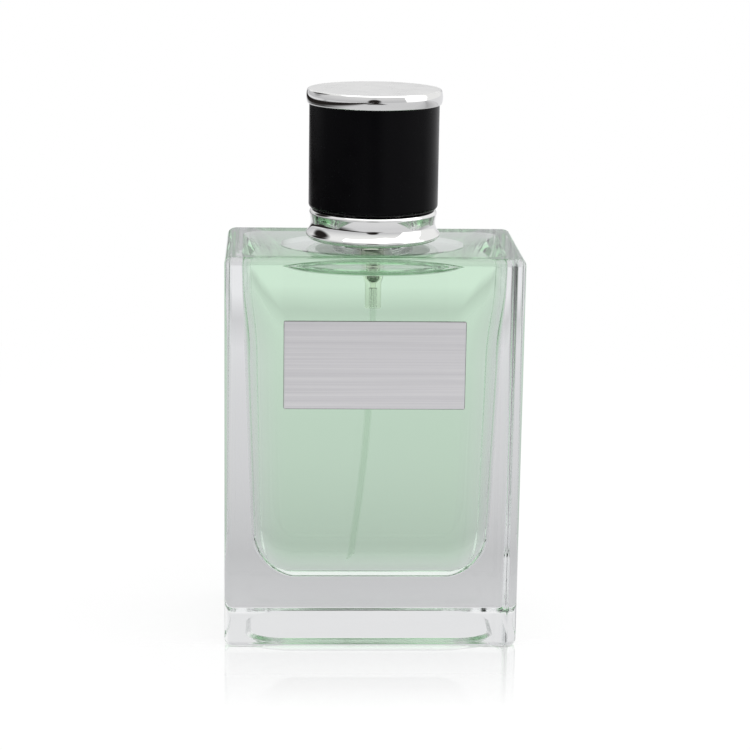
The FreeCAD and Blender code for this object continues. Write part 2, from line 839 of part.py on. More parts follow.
def make_cap_sleeve():
    return turned_part("cap_sleeve", [
        ("sleeve_inner", "cap_foot"),
        ("sleeve_radius - sleeve_edge", "cap_foot"),
        (f"sleeve_radius - {FACET} * sleeve_edge", f"cap_foot + {FACET} * sleeve_edge"),
        ("sleeve_radius", "cap_foot + sleeve_edge"),
        ("sleeve_radius", "web_top"),
        ("spigot_radius", "web_top"),
        ("spigot_radius", "liner_top"),
        ("sleeve_inner", "liner_top"),
    ])


def make_cap_liner():
    """Inner cup whose ribs grip the upstand and stop on its top."""
    body = body_named("cap_liner")
    turn(body, [
        ("liner_inner", "liner_foot"),
        ("liner_outer", "liner_foot"),
        ("liner_outer", "liner_top"),
        ("0", "liner_top"),
        ("0", "cap_ceiling"),
        ("liner_inner", "cap_ceiling"),
    ])
    ribs(body, [
        ("liner_inner + liner_wall / 2", "liner_foot"),
        ("liner_grip + liner_lead_in", "liner_foot"),
        ("liner_grip", "liner_foot + 2 * liner_lead_in"),
        ("liner_grip", "liner_stop"),
        ("liner_inner - liner_stop_depth", "liner_stop"),
        ("liner_inner - liner_stop_depth", "liner_stop + liner_stop_height"),
        ("liner_inner + liner_wall / 2", "liner_stop + liner_stop_height + liner_stop_depth"),
    ], "liner_rib_width", "liner_ribs", "LinerRib")
    return body


def make_cap_disc():
    flat = "disc_radius - rim_depth"
    crown = f"disc_radius - {FACET} * rim_depth"
    return turned_part("cap_top_disc", [
        ("0", "liner_top"),
        ("spigot_radius", "liner_top"),
        ("spigot_radius", "web_top"),
        (flat, "web_top"),
        (crown, "web_top + rim_chamfer"),
        (crown, "disc_top - rim_chamfer"),
        (flat, "disc_top"),
        ("0", "disc_top"),
    ], {4: ("rim_curve", 1)})


# Assembly
hollow = make_hollow()
hollow_and_bore = combine("Fuse", "hollow_and_bore", hollow, make_neck_bore())
housing_outside = make_housing_outside()
dip_tube = make_dip_tube()

nodes = [
    combine("Cut", "glass_bottle", make_glass_block(), hollow_and_bore),
    make_liquid(hollow, housing_outside, dip_tube),
    make_label_plate(),
    ring("neck_gasket", "neck_bore_radius + seat_gap", "flange_radius", "neck_top", "flange_foot"),
    make_ferrule(),
    make_housing(housing_outside),
    make_closure(),
    ring("stem_gasket", "stem_radius + running_gap", "rim_radius", "rim_top", "turret_ceiling"),
    dip_tube,
    make_collar(),
    make_grip_ring(),
    make_spring(),
    make_piston(),
    make_ball(),
    make_stem(),
    make_button(),
    make_shell(),
    make_nozzle(),
    make_cap_sleeve(),
    make_cap_liner(),
    make_cap_disc(),
]
doc.recompute()

for item in doc.Objects:
    if any(word in state for state in item.State for word in ("Invalid", "Error")):
        raise RuntimeError(f"{item.Label} failed: {item.State}")
for node in nodes:
    if node.Shape.isNull() or not node.Shape.isValid() or not node.Shape.Solids:
        raise RuntimeError(f"{node.Label} has no valid solid")

os.makedirs("parts", exist_ok=True)
for node in nodes:
    node.Shape.exportStep(os.path.join("parts", f"{node.Label}.step"))
    print(f"{node.Label}: {len(node.Shape.Solids)} solid, {node.Shape.Volume:.2f} mm3")
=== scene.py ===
import math

import bmesh
import bpy
from mathutils import Matrix, Vector


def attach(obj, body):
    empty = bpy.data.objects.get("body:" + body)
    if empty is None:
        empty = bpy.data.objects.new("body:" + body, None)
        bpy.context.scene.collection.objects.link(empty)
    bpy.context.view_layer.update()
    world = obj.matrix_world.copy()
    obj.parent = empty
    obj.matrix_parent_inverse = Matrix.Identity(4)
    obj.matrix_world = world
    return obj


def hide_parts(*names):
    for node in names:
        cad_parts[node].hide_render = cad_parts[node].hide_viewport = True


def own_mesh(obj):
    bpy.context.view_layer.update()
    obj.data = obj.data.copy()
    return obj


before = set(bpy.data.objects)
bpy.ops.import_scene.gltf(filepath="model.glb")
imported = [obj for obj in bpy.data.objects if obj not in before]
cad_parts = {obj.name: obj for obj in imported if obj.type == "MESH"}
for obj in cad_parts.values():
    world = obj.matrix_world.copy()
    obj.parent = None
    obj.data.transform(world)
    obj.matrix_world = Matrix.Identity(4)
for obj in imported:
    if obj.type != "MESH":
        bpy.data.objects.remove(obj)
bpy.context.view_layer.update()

# Spray bottle: thick glass, green filling, brushed plate, polished collar, black cap.
# Sizes are in millimetres, in the same frame as the solids. The studio at the end is in metres.
MM = 0.001
NEAR = 1e-3  # points within this lie at the same height or radius
MERGE = 1e-4
ROUND_STEPS = 128
SHARP_ANGLE = 38.0
UP = (0.0, 0.0, 1.0)

GLASS_WIDTH, GLASS_DEPTH, SHOULDER = 64.0, 39.7, 86.4
UPRIGHT_ROUND, SHOULDER_ROUND, BASE_ROUND = 2.2, 1.6, 1.4
RECESS_INSET, RECESS_CORNER, RECESS_RISE, RECESS_RUN = 4.4, 9.5, 0.8, 1.4
RECESS_STEPS = 16
RECESS_HALF_WIDTH = GLASS_WIDTH / 2 - RECESS_INSET
RECESS_HALF_DEPTH = GLASS_DEPTH / 2 - RECESS_INSET
PLINTH_RADIUS, PLINTH_TOP, PLINTH_ROUND = 8.8, 88.1, 0.35
NECK_RADIUS, NECK_TOP, NECK_BORE = 6.3, 95.5, 4.3
BEAD_RADIUS, BEAD_FOOT, BEAD_ROUND = 7.4, 92.1, 0.6

HOLLOW_FLOOR, CEILING = 14.3, 84.6
HOLLOW_HALF_WIDTH, HOLLOW_HALF_DEPTH = 26.25, 13.4
HOLLOW_CORNER, HOLLOW_FLOOR_ROUND, HOLLOW_FRONT_ROUND, HOLLOW_CEILING_ROUND = 9.5, 9.0, 3.0, 0.6
HOLLOW_DRAFT = math.tan(math.radians(1.7))
TIGHT_FROM, TIGHT_TO, TIGHT_STEP, TIGHT_CORNER = 62.0, 80.0, 1.5, 4.0
# Box round the walls of the hollow that holds no outer face of the glass.
WALLS_LOW, WALLS_HIGH = (-30.4, -18.3, 5.0), (30.4, 18.3, CEILING + 0.01)
AIR_HALF_WIDTH, AIR_HALF_DEPTH, AIR_DEPTH, AIR_FULLNESS = 20.2, 13.2, 3.4, 0.42
LIQUID_OVERLAP = 0.06
# Box round the wall of the socket that holds the dip tube.
SOCKET_LOW, SOCKET_HIGH = (-0.95, -0.95, 73.0), (0.95, 0.95, 77.3)

LABEL_LOW = (-19.4, -20.25, 53.9)
LABEL_HIGH = (19.4, -19.85, 73.1)
# The last width is that of the painted shadow line round the plate's face.
LABEL_CORNER, LABEL_EDGE, LABEL_SHADE_RIM = 0.4, 0.07, 0.13

COLLAR_FOOT, COLLAR_INNER, COLLAR_FOOT_RADIUS = 87.75, 12.6, 14.08
# Outside of the collar: radius, height, radius of the arc that leads there and its steps.
COLLAR_ARCS = (
    (14.52, 88.95, 0.8, 12), (13.6, 91.4, -3.0, 14), (13.9, 93.2, -7.0, 10), (13.02, 94.08, 0.9, 10))
SEAT_RADIUS, SEAT_HEIGHT, COLLAR_WALL = 12.5, 93.5, 0.5
UPSTAND_RADIUS, UPSTAND_BORE, UPSTAND_TOP = 10.9, 7.1, 99.5

CAP_FOOT, LINER_TOP, WEB_TOP, DISC_TOP = 94.15, 115.95, 116.9, 120.05
SLEEVE_RADIUS, SLEEVE_INNER, DISC_RADIUS, SPIGOT_RADIUS = 14.08, 12.4, 14.75, 4.0
DISC_EDGE_WIDTH, DISC_EDGE_HEIGHT, DISC_EDGE_ROUND = 0.5, 0.4, 0.435
DISC_RIM_BULGE, DISC_RIM_ROUND, DISC_TOP_BORDER = 0.146, 4.79, 0.6

GLASS_IOR, LIQUID_IOR = 1.5, 1.36


# Mesh helpers

def corner(bm, r, z):
    """Start a profile at radius r and height z."""
    return bm.verts.new((r, 0.0, z))


def line_to(bm, start, r, z):
    """Run a profile straight on to radius r and height z."""
    end = bmesh.ops.extrude_vert_indiv(bm, verts=[start])["verts"][0]
    end.co = (r, 0.0, z)
    return end


def lines_to(bm, start, corners):
    """Run a profile straight on through (radius, height) corners."""
    for r, z in corners:
        start = line_to(bm, start, r, z)
    return start


def arc_to(bm, start, r, z, curve, steps):
    """Run a profile on to radius r and height z in an arc; a curve above 0 bulges to the right."""
    first = Vector((start.co.x, start.co.z))
    last = Vector((r, z))
    chord = last - first
    half_angle = math.asin(chord.length / 2 / curve)
    left = Vector((-chord.y, chord.x))
    centre = (first + last) / 2 + left * (0.5 / math.tan(half_angle))
    made = bmesh.ops.spin(
        bm, geom=[start], cent=(centre.x, 0.0, centre.y), axis=(0.0, -1.0, 0.0),
        angle=2 * half_angle, steps=steps, use_merge=False, use_duplicate=False)
    return next(item for item in made["geom_last"] if isinstance(item, bmesh.types.BMVert))


def turn_round(bm):
    """Spin the profile drawn so far round the upright axis."""
    bmesh.ops.spin(
        bm, geom=bm.verts[:] + bm.edges[:], cent=(0.0, 0.0, 0.0), axis=UP,
        angle=math.tau, steps=ROUND_STEPS, use_merge=True, use_duplicate=False)
    bmesh.ops.remove_doubles(bm, verts=bm.verts, dist=MERGE)


def at_height(item, z):
    """Whether an edge or a face lies flat at one height."""
    return all(abs(vert.co.z - z) < NEAR for vert in item.verts)


def level_edges(bm, z):
    return [edge for edge in bm.edges if at_height(edge, z)]


def ring_edges(bm, r, z):
    """Edges of the circle at radius r and height z."""
    return [edge for edge in level_edges(bm, z)
            if all(abs(math.hypot(vert.co.x, vert.co.y) - r) < NEAR for vert in edge.verts)]


def upright_edges(bm):
    shortest = 0.5
    return [edge for edge in bm.edges
            if (edge.verts[0].co - edge.verts[1].co).xy.length < NEAR and edge.calc_length() > shortest]


def soften(bm, edges, width, steps):
    """Round edges off."""
    bmesh.ops.bevel(
        bm, geom=edges, offset=width, offset_type="OFFSET", segments=steps, profile=0.5,
        affect="EDGES", clamp_overlap=False, material=-1)


def soften_rings(bm, rings):
    """Round off circles given as (radius, height, width, steps)."""
    for r, z, width, steps in rings:
        soften(bm, ring_edges(bm, r, z), width, steps)


def fill_level(bm, z):
    """Close the flat opening at one height, leaving holes that another loop bounds."""
    edges = [edge for edge in level_edges(bm, z) if len(edge.link_faces) == 1]
    bmesh.ops.triangle_fill(bm, use_beauty=True, use_dissolve=False, edges=edges)


def drop_level_faces(bm, z):
    """Delete the faces that lie flat at one height."""
    faces = [face for face in bm.faces if at_height(face, z)]
    bmesh.ops.delete(bm, geom=faces, context="FACES")


def cut_level(bm, z, **options):
    """Cut the mesh at one height."""
    bmesh.ops.bisect_plane(
        bm, geom=bm.verts[:] + bm.edges[:] + bm.faces[:], plane_co=(0.0, 0.0, z), plane_no=UP, **options)


def box_at(bm, low, high):
    """Block between two corners."""
    size = Vector(high) - Vector(low)
    middle = (Vector(high) + Vector(low)) / 2
    place = Matrix.Translation(middle) @ Matrix.Diagonal((*size, 1.0))
    bmesh.ops.create_cube(bm, size=1.0, matrix=place)


def join_in(bm, shape, *sizes):
    """Build a shape in a mesh of its own and add it to bm."""
    part = bmesh.new()
    shape(part, *sizes)
    scratch = bpy.data.meshes.new("scratch")
    part.to_mesh(scratch)
    part.free()
    bm.from_mesh(scratch)
    bpy.data.meshes.remove(scratch)


def piece(name, bm, material, body, nodes):
    """Turn a finished mesh into a piece that rides on a body and stands for CAD nodes."""
    bmesh.ops.remove_doubles(bm, verts=bm.verts, dist=MERGE)
    bmesh.ops.recalc_face_normals(bm, faces=bm.faces)
    bmesh.ops.scale(bm, vec=(MM, MM, MM), verts=bm.verts)
    mesh = bpy.data.meshes.new(name)
    bm.to_mesh(mesh)
    bm.free()
    mesh.shade_smooth()
    mesh.set_sharp_from_angle(angle=math.radians(SHARP_ANGLE))
    made = bpy.data.objects.new(name, mesh)
    bpy.context.scene.collection.objects.link(made)
    made.data.materials.append(material)
    even = made.modifiers.new("even_shading", "WEIGHTED_NORMAL")
    even.keep_sharp = True
    even.weight = 100
    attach(made, body)
    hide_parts(*nodes)
    return made


# Finishes

class Nodes:
    """A node tree and short ways to add to it."""

    def __init__(self, tree):
        self.tree = tree

    def node(self, kind, **settings):
        made = self.tree.nodes.new(kind)
        for name, value in settings.items():
            setattr(made, name, value)
        return made

    def link(self, source, target):
        self.tree.links.new(source, target)

    def span(self, value, low, high, from_low=0.3, from_high=0.7, shape="LINEAR"):
        """Spread a value from a range, if none is given the usual one of noise, to low and high."""
        made = self.node("ShaderNodeMapRange", interpolation_type=shape)
        for name, number in (("From Min", from_low), ("From Max", from_high), ("To Min", low), ("To Max", high)):
            made.inputs[name].default_value = number
        self.link(value, made.inputs["Value"])
        return made.outputs["Result"]

    def rise(self, value, start, end):
        """0 up to start, 1 from end on, smooth between."""
        return self.span(value, 0.0, 1.0, start, end, "SMOOTHSTEP")

    def fall(self, value, start, end):
        """1 up to start, 0 from end on, smooth between."""
        return self.span(value, 1.0, 0.0, start, end, "SMOOTHSTEP")

    def maths(self, operation, *values):
        """Result of a sum; each value is a number or a node's output."""
        made = self.node("ShaderNodeMath", operation=operation)
        for socket, value in zip(made.inputs, values):
            if isinstance(value, float):
                socket.default_value = value
            else:
                self.link(value, socket)
        return made.outputs["Value"]

    def product(self, first, *others):
        for other in others:
            first = self.maths("MULTIPLY", first, other)
        return first

    def blend(self, share, first, second):
        """Colour between first and second; each is a colour or a node's output."""
        made = self.node("ShaderNodeMix", data_type="RGBA")
        for socket, value in ((made.inputs[6], first), (made.inputs[7], second)):
            if isinstance(value, tuple):
                socket.default_value = (*value, 1.0)
            else:
                self.link(value, socket)
        self.link(share, made.inputs[0])
        return made.outputs[2]

    def mix_shaders(self, share, first, second):
        made = self.node("ShaderNodeMixShader")
        self.link(share, made.inputs[0])
        self.link(first.outputs[0], made.inputs[1])
        self.link(second.outputs[0], made.inputs[2])
        return made

    def split(self, vector):
        """X, Y and Z of a vector."""
        made = self.node("ShaderNodeSeparateXYZ")
        self.link(vector, made.inputs["Vector"])
        return made.outputs


class Finish(Nodes):
    """A material with its node tree and the surface shader."""

    def __init__(self, name, **sockets):
        self.material = bpy.data.materials.new(name)
        self.material.use_nodes = True
        super().__init__(self.material.node_tree)
        self.shader = self.tree.nodes["Principled BSDF"]
        self.output = self.tree.nodes["Material Output"]
        for socket, value in sockets.items():
            self.shader.inputs[socket.replace("_", " ")].default_value = value

    def place(self, stretch=(1.0, 1.0, 1.0)):
        """Object coordinates, stretched where a grain runs one way."""
        where = self.node("ShaderNodeTexCoord")
        mapping = self.node("ShaderNodeMapping")
        mapping.inputs["Scale"].default_value = stretch
        self.link(where.outputs["Object"], mapping.inputs["Vector"])
        return mapping.outputs["Vector"]

    def noise(self, scale, detail=3.0, stretch=(1.0, 1.0, 1.0)):
        made = self.node("ShaderNodeTexNoise")
        made.inputs["Scale"].default_value = scale
        made.inputs["Detail"].default_value = detail
        self.link(self.place(stretch), made.inputs["Vector"])
        return made.outputs["Fac"]

    def inside_box(self, low, high):
        """1 where the place lies between two corners in millimetres, else 0."""
        where = self.split(self.place())
        sides = []
        for axis, least, most in zip("XYZ", low, high):
            sides.append(self.maths("GREATER_THAN", where[axis], least * MM))
            sides.append(self.maths("LESS_THAN", where[axis], most * MM))
        return self.product(*sides)

    def at_bubble(self):
        """1 in and over the air bubble, else 0."""
        beside, below = 0.02, 0.2
        where = self.split(self.place())
        across, along = (
            self.maths("POWER", self.maths("DIVIDE", where[axis], (half + beside) * MM), 2.0)
            for axis, half in (("X", AIR_HALF_WIDTH), ("Y", AIR_HALF_DEPTH)))
        return self.product(self.maths("LESS_THAN", self.maths("ADD", across, along), 1.0),
                            self.maths("GREATER_THAN", where["Z"], (CEILING - AIR_DEPTH - below) * MM))

    def colour(self, share, first, second):
        self.link(self.blend(share, first, second), self.shader.inputs["Base Color"])

    def roughness(self, value):
        self.link(value, self.shader.inputs["Roughness"])

    def bump(self, height, strength, distance):
        made = self.node("ShaderNodeBump")
        made.inputs["Strength"].default_value = strength
        made.inputs["Distance"].default_value = distance
        self.link(height, made.inputs["Height"])
        self.link(made.outputs["Normal"], self.shader.inputs["Normal"])

    def absorb(self, tint, density):
        made = self.node("ShaderNodeVolumeAbsorption")
        made.inputs["Color"].default_value = (*tint, 1.0)
        made.inputs["Density"].default_value = density
        self.link(made.outputs["Volume"], self.output.inputs["Volume"])

    def surface(self, shader):
        self.link(shader.outputs[0], self.output.inputs["Surface"])

    def clear_where(self, share):
        """Let light straight through where share is 1."""
        self.surface(self.mix_shaders(share, self.shader, self.node("ShaderNodeBsdfTransparent")))


def clear_glass():
    """Glass; the filling bends the light at the walls that it wets, and the edge of the base recess is soft."""
    finish = Finish("clear_glass", IOR=GLASS_IOR, Transmission_Weight=1.0)
    ripple = finish.noise(38.0, 2.0)
    finish.colour(ripple, (0.985, 0.99, 0.99), (1.0, 1.0, 1.0))
    beside, within, softness = 0.1, 0.01, 0.25
    half_x, half_y = RECESS_HALF_WIDTH + beside, RECESS_HALF_DEPTH + beside
    recess_edge = finish.inside_box((-half_x, -half_y, within), (half_x, half_y, RECESS_RISE - within))
    finish.roughness(finish.maths("ADD", finish.span(finish.noise(160.0), 0.0, 0.012),
                                  finish.product(recess_edge, softness)))
    finish.bump(ripple, 0.12, 0.0006)
    finish.absorb((0.72, 0.78, 0.8), 2.0)
    walls = finish.inside_box(WALLS_LOW, WALLS_HIGH)
    finish.clear_where(finish.product(walls, finish.maths("SUBTRACT", 1.0, finish.at_bubble())))
    return finish.material


def green_liquid():
    """Filling: against air at the bubble, against glass everywhere else."""
    finish = Finish("green_liquid", IOR=LIQUID_IOR, Transmission_Weight=1.0)
    tint = finish.noise(30.0)
    finish.colour(tint, (0.97, 1.0, 0.98), (1.0, 1.0, 1.0))
    smear = finish.span(finish.noise(90.0), 0.0, 0.01)
    finish.roughness(smear)
    wall = finish.node("ShaderNodeBsdfGlass")
    wall.inputs["IOR"].default_value = LIQUID_IOR / GLASS_IOR
    finish.link(finish.blend(tint, (0.98, 1.0, 0.99), (1.0, 1.0, 1.0)), wall.inputs["Color"])
    finish.link(smear, wall.inputs["Roughness"])
    finish.surface(finish.mix_shaders(finish.at_bubble(), wall, finish.shader))
    finish.absorb((0.1, 0.955, 0.16), 9.0)
    return finish.material


def brushed_plate():
    """Plate brushed from side to side, with a painted shadow line as a dark hairline at its edge."""
    finish = Finish("brushed_plate", Metallic=1.0)
    fine = finish.noise(3200.0, 4.0, (0.006, 0.6, 1.0))
    wide = finish.noise(900.0, 2.0, (0.008, 0.6, 1.0))
    streak = finish.product(fine, wide)
    metal = finish.blend(finish.span(streak, 0.0, 1.0, 0.15, 0.36), (0.84, 0.83, 0.845), (0.94, 0.93, 0.94))
    # Painted shadow: a thin dark grey rim round the face stands for the shadow line at the plate's edge.
    face = finish.inside_box((LABEL_LOW[0] + LABEL_SHADE_RIM, -30.0, LABEL_LOW[2] + LABEL_SHADE_RIM),
                             (LABEL_HIGH[0] - LABEL_SHADE_RIM, 0.0, LABEL_HIGH[2] - LABEL_SHADE_RIM))
    finish.colour(face, (0.3, 0.3, 0.3), metal)
    finish.roughness(finish.span(fine, 0.34, 0.48))
    finish.bump(streak, 0.25, 0.00003)
    return finish.material


def polished_metal(name, tint, low, high):
    """Bright plated or polished metal with faint handling marks."""
    finish = Finish(name, Metallic=1.0)
    marks = finish.noise(220.0, 4.0)
    finish.colour(marks, tuple(0.97 * channel for channel in tint), tint)
    finish.roughness(finish.span(marks, low, high))
    finish.bump(finish.noise(900.0, 2.0), 0.02, 0.00002)
    return finish.material


def disc_metal():
    """Polished rim with a satin flat top."""
    finish = Finish("cap_disc_metal", Metallic=1.0)
    marks = finish.noise(260.0, 4.0)
    finish.colour(marks, (0.8, 0.8, 0.79), (0.84, 0.84, 0.83))
    height = finish.split(finish.place())["Z"]
    flat = finish.span(height, 0.0, 1.0, (DISC_TOP - 0.08) * MM, (DISC_TOP - 0.01) * MM)
    satin = 0.22
    finish.roughness(finish.maths("MULTIPLY_ADD", flat, satin, finish.span(marks, 0.045, 0.09)))
    finish.bump(finish.noise(1500.0, 3.0), 0.03, 0.00002)
    return finish.material


def black_cap():
    """Satin black with a few pale specks of dust."""
    finish = Finish("black_cap", Specular_IOR_Level=0.07)
    cloud = finish.noise(45.0, 3.0)
    specks = finish.node("ShaderNodeTexVoronoi", feature="F1")
    specks.inputs["Scale"].default_value = 330.0
    finish.link(finish.place(), specks.inputs["Vector"])
    chance = finish.node("ShaderNodeSeparateColor")
    finish.link(specks.outputs["Color"], chance.inputs["Color"])
    rare = finish.span(chance.outputs["Red"], 0.0, 1.0, 0.86, 0.87)
    small = finish.span(specks.outputs["Distance"], 1.0, 0.0, 0.03, 0.06)
    base = finish.blend(cloud, (0.001, 0.001, 0.0013), (0.0018, 0.0017, 0.0023))
    finish.colour(finish.product(rare, small), base, (0.05, 0.055, 0.055))
    finish.roughness(finish.span(finish.noise(180.0), 0.22, 0.3))
    finish.bump(finish.noise(2600.0, 2.0), 0.04, 0.00002)
    return finish.material


def plastic_finish(name, dark, light, low, high, **sockets):
    """Plain moulded plastic or rubber with a fine skin."""
    finish = Finish(name, **sockets)
    finish.colour(finish.noise(120.0), dark, light)
    finish.roughness(finish.span(finish.noise(420.0), low, high))
    finish.bump(finish.noise(2200.0, 2.0), 0.06, 0.00003)
    return finish


def moulded_plastic(*looks, **sockets):
    return plastic_finish(*looks, **sockets).material


def housing_plastic():
    """Clear pump housing; the wall of its socket is left to the tube that fills it."""
    finish = plastic_finish("housing_plastic", (0.92, 0.95, 0.87), (0.96, 0.98, 0.91), 0.08, 0.14,
                            IOR=1.06, Transmission_Weight=0.97)
    finish.clear_where(finish.inside_box(SOCKET_LOW, SOCKET_HIGH))
    return finish.material


CLEAR_GLASS = clear_glass()
GREEN_LIQUID = green_liquid()
BRUSHED_PLATE = brushed_plate()
POLISHED = polished_metal("polished_collar", (0.87, 0.87, 0.86), 0.03, 0.07)
HEAD_METAL = polished_metal("spray_head_metal", (0.84, 0.84, 0.83), 0.1, 0.18)
FERRULE_METAL = polished_metal("ferrule_metal", (0.9, 0.9, 0.9), 0.2, 0.3)
STEEL = polished_metal("spring_steel", (0.72, 0.73, 0.72), 0.12, 0.2)
BALL_STEEL = polished_metal("ball_steel", (0.36, 0.37, 0.36), 0.12, 0.2)
BLACK_CAP = black_cap()
BLACK_LINER = moulded_plastic("black_liner", (0.012, 0.012, 0.013), (0.02, 0.02, 0.021), 0.42, 0.55)
WHITE_PLASTIC = moulded_plastic("white_plastic", (0.74, 0.74, 0.72), (0.8, 0.8, 0.78), 0.36, 0.46)
GASKET = moulded_plastic("gasket_rubber", (0.58, 0.58, 0.56), (0.64, 0.64, 0.62), 0.6, 0.72)
HOUSING_PLASTIC = housing_plastic()
TUBE_PLASTIC = moulded_plastic("tube_plastic", (0.92, 0.95, 0.92), (0.96, 0.98, 0.96), 0.05, 0.1,
                               IOR=1.05, Transmission_Weight=0.98)


# Glass and filling

def smooth_step(value, low, high):
    share = min(max((value - low) / (high - low), 0.0), 1.0)
    return share * share * (3.0 - 2.0 * share)


def rounded_block(bm, half_x, half_y, low, high, radius, steps):
    """Block with rounded upright edges."""
    box_at(bm, (-half_x, -half_y, low), (half_x, half_y, high))
    soften(bm, upright_edges(bm), radius, steps)


def reshape_corners(bm, half_x, half_y, radius, reach):
    """Move the outline at each height out by reach(z)[0] and give its corners the radius reach(z)[1]."""
    for vert in bm.verts:
        side_x = math.copysign(1.0, vert.co.x)
        side_y = math.copysign(1.0, vert.co.y)
        out_x = (abs(vert.co.x) - (half_x - radius)) / radius
        out_y = (abs(vert.co.y) - (half_y - radius)) / radius
        spread, corner_radius = reach(vert.co.z)
        vert.co.x = side_x * (half_x + spread - corner_radius + corner_radius * out_x)
        vert.co.y = side_y * (half_y + spread - corner_radius + corner_radius * out_y)


def round_reach(half_y, rise, radius):
    """Half depth of a hollow at a height over its floor, with a floor edge of the given radius."""
    return half_y - radius + math.sqrt(max(radius ** 2 - max(radius - rise, 0.0) ** 2, 0.0))


def hollow_walls(bm, grow):
    """Drafted hollow with a round floor and corners that tighten to the top; grow pushes it into the glass."""
    floor_z = HOLLOW_FLOOR - grow
    ceiling_z = CEILING + grow
    half_x = HOLLOW_HALF_WIDTH + grow
    half_y = HOLLOW_HALF_DEPTH + grow
    radius = HOLLOW_CORNER + grow

    def reach(z):
        spread = (z - HOLLOW_FLOOR) * HOLLOW_DRAFT
        loose = radius + spread
        return spread, loose + (TIGHT_CORNER + grow - loose) * smooth_step(z, TIGHT_FROM, TIGHT_TO)

    rounded_block(bm, half_x, half_y, floor_z, ceiling_z, radius, 32)
    for number in range(round((TIGHT_TO - TIGHT_FROM) / TIGHT_STEP) + 1):
        cut_level(bm, TIGHT_FROM + number * TIGHT_STEP)
    reshape_corners(bm, half_x, half_y, radius, reach)
    soften(bm, level_edges(bm, floor_z), HOLLOW_FLOOR_ROUND, 36)
    soften(bm, level_edges(bm, ceiling_z), HOLLOW_CEILING_ROUND, 6)
    for vert in bm.verts:
        rise = vert.co.z - floor_z
        if rise < HOLLOW_FLOOR_ROUND:
            wide = round_reach(half_y, rise, HOLLOW_FLOOR_ROUND)
            tight = round_reach(half_y, rise, HOLLOW_FRONT_ROUND)
            vert.co.y *= tight / wide
    drop_level_faces(bm, ceiling_z)


def base_recess(bm):
    """Shallow recess with an S-shaped edge, inside the rim that the bottle stands on."""
    rounded_block(bm, RECESS_HALF_WIDTH, RECESS_HALF_DEPTH, 0.0, RECESS_RISE, RECESS_CORNER, 20)
    runs = {}
    for step in range(RECESS_STEPS + 1):
        height = round(RECESS_RISE * smooth_step(step, 0, RECESS_STEPS), 5)
        runs[height] = RECESS_RUN * step / RECESS_STEPS
        if 0 < step < RECESS_STEPS:
            cut_level(bm, height)

    def reach(z):
        inset = runs[min(runs, key=lambda height: abs(height - z))]
        return -inset, RECESS_CORNER - inset

    reshape_corners(bm, RECESS_HALF_WIDTH, RECESS_HALF_DEPTH, RECESS_CORNER, reach)
    drop_level_faces(bm, 0.0)


def neck_and_bore(bm):
    """Plinth, neck and bead outside, then the bore down to the ceiling of the hollow."""
    slope = BEAD_RADIUS - NECK_RADIUS
    lines_to(bm, corner(bm, PLINTH_RADIUS, SHOULDER), (
        (PLINTH_RADIUS, PLINTH_TOP), (NECK_RADIUS, PLINTH_TOP), (NECK_RADIUS, BEAD_FOOT - slope),
        (BEAD_RADIUS, BEAD_FOOT), (BEAD_RADIUS, NECK_TOP), (NECK_BORE, NECK_TOP), (NECK_BORE, CEILING)))
    turn_round(bm)
    soften_rings(bm, [(PLINTH_RADIUS, PLINTH_TOP, PLINTH_ROUND, 4), (BEAD_RADIUS, NECK_TOP, BEAD_ROUND, 5)])


def make_glass():
    bm = bmesh.new()
    rounded_block(bm, GLASS_WIDTH / 2, GLASS_DEPTH / 2, 0.0, SHOULDER, UPRIGHT_ROUND, 8)
    soften(bm, level_edges(bm, SHOULDER), SHOULDER_ROUND, 7)
    soften(bm, level_edges(bm, 0.0), BASE_ROUND, 7)
    drop_level_faces(bm, SHOULDER)
    drop_level_faces(bm, 0.0)
    join_in(bm, base_recess)
    join_in(bm, neck_and_bore)
    join_in(bm, hollow_walls, 0.0)
    for level in (0.0, CEILING, SHOULDER):
        fill_level(bm, level)
    piece("bottle_glass", bm, CLEAR_GLASS, "bottle", ["glass_bottle"])


def air_pocket(bm):
    """Flat air bubble under the ceiling, steep at its edge and open at the top."""
    bmesh.ops.create_uvsphere(bm, u_segments=ROUND_STEPS, v_segments=96, radius=1.0)
    cut_level(bm, 0.0, clear_outer=True)
    for vert in bm.verts:
        reach = max(vert.co.xy.length, 1e-6)
        vert.co.xy *= reach ** AIR_FULLNESS / reach
        vert.co.z = -max(-vert.co.z, 0.0) ** AIR_FULLNESS
    bmesh.ops.scale(bm, vec=(AIR_HALF_WIDTH, AIR_HALF_DEPTH, AIR_DEPTH + LIQUID_OVERLAP), verts=bm.verts)
    bmesh.ops.translate(bm, vec=(0.0, 0.0, CEILING + LIQUID_OVERLAP), verts=bm.verts)


def make_liquid():
    """Filling, sunk a hair into the glass so that no air shows between them."""
    bm = bmesh.new()
    hollow_walls(bm, LIQUID_OVERLAP)
    join_in(bm, air_pocket)
    fill_level(bm, CEILING + LIQUID_OVERLAP)
    piece("green_filling", bm, GREEN_LIQUID, "bottle", ["fragrance_liquid"])


# Plate, collar, cap and spring

def make_label():
    bm = bmesh.new()
    box_at(bm, LABEL_LOW, LABEL_HIGH)
    corners = [edge for edge in bm.edges if abs(edge.verts[0].co.y - edge.verts[1].co.y) > 0.1]
    soften(bm, corners, LABEL_CORNER, 5)
    front = [edge for edge in bm.edges if all(abs(vert.co.y - LABEL_LOW[1]) < NEAR for vert in edge.verts)]
    soften(bm, front, LABEL_EDGE, 2)
    piece("front_plate", bm, BRUSHED_PLATE, "bottle", ["label_plate"])


